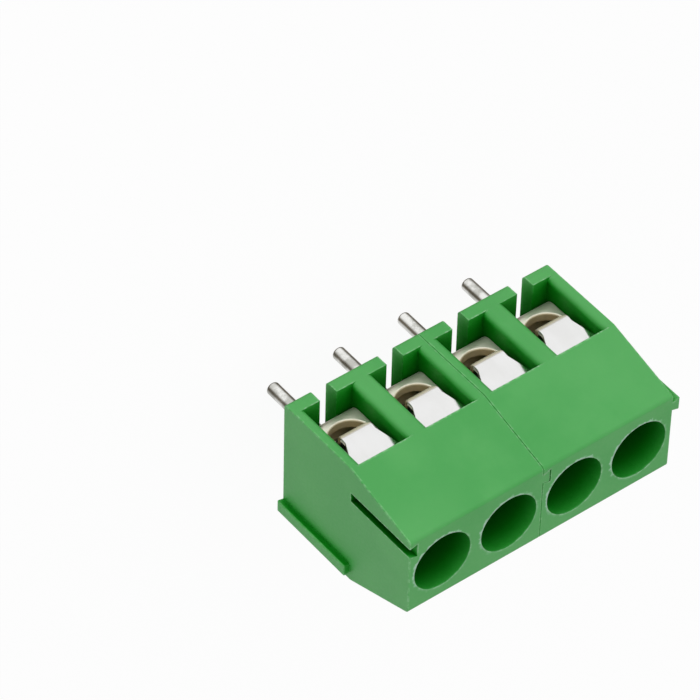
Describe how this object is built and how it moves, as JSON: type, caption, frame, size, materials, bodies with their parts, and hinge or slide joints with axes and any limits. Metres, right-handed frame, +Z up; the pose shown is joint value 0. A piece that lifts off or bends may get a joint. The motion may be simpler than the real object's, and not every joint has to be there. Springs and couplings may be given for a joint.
{
  "type": "pcb screw terminal block",
  "caption": "Green board-mounted screw terminal in dovetailed modules, with wire guards, clamping screws and straight solder pins.",
  "frame": {"origin": "middle of the pin row, on the board face of the housing", "axes": "+X along the row of poles, -Y the side where the wires go in, +Z up, away from the board"},
  "size_m": [0.0209, 0.0096, 0.0167],
  "materials": {
    "housing": "moulded green plastic, satin",
    "cage": "tin plated, bright outside and duller inside",
    "pin": "tin plated wire",
    "guard": "bright tin plated spring strip",
    "screw": "zinc plated, clear"
  },
  "bodies": {
    "root": {"housing_1": "housing", "housing_2": "housing", "contact_cage_1": "cage", "solder_pin_1": "pin", "contact_cage_2": "cage", "solder_pin_2": "pin", "contact_cage_3": "cage", "solder_pin_3": "pin", "contact_cage_4": "cage", "solder_pin_4": "pin"},
    "guard_1": {"wire_guard_1": "guard"},
    "screw_1": {"clamp_screw_1": "screw"},
    "guard_2": {"wire_guard_2": "guard"},
    "screw_2": {"clamp_screw_2": "screw"},
    "guard_3": {"wire_guard_3": "guard"},
    "screw_3": {"clamp_screw_3": "screw"},
    "guard_4": {"wire_guard_4": "guard"},
    "screw_4": {"clamp_screw_4": "screw"}
  },
  "joints": [
    {"name": "guard_1_drop", "type": "slide", "parent": "root", "child": "guard_1", "axis": [0, 0, -1], "range_m": [0, 0.0008]},
    {"name": "screw_1_turn", "type": "hinge", "parent": "guard_1", "child": "screw_1", "pos_m": [-0.0075, 0.00075, 0.0075], "axis": [0, 0, -1], "range_deg": [0, 640]},
    {"name": "guard_2_drop", "type": "slide", "parent": "root", "child": "guard_2", "axis": [0, 0, -1], "range_m": [0, 0.0008]},
    {"name": "screw_2_turn", "type": "hinge", "parent": "guard_2", "child": "screw_2", "pos_m": [-0.0025, 0.00075, 0.0075], "axis": [0, 0, -1], "range_deg": [0, 640]},
    {"name": "guard_3_drop", "type": "slide", "parent": "root", "child": "guard_3", "axis": [0, 0, -1], "range_m": [0, 0.0008]},
    {"name": "screw_3_turn", "type": "hinge", "parent": "guard_3", "child": "screw_3", "pos_m": [0.0025, 0.00075, 0.0075], "axis": [0, 0, -1], "range_deg": [0, 640]},
    {"name": "guard_4_drop", "type": "slide", "parent": "root", "child": "guard_4", "axis": [0, 0, -1], "range_m": [0, 0.0008]},
    {"name": "screw_4_turn", "type": "hinge", "parent": "guard_4", "child": "screw_4", "pos_m": [0.0075, 0.00075, 0.0075], "axis": [0, 0, -1], "range_deg": [0, 640]}
  ],
  "couplings": [
    {"joint": "screw_1_turn", "follows": "guard_1_drop", "rad_per_m": 13963},
    {"joint": "screw_2_turn", "follows": "guard_2_drop", "rad_per_m": 13963},
    {"joint": "screw_3_turn", "follows": "guard_3_drop", "rad_per_m": 13963},
    {"joint": "screw_4_turn", "follows": "guard_4_drop", "rad_per_m": 13963}
  ]
}
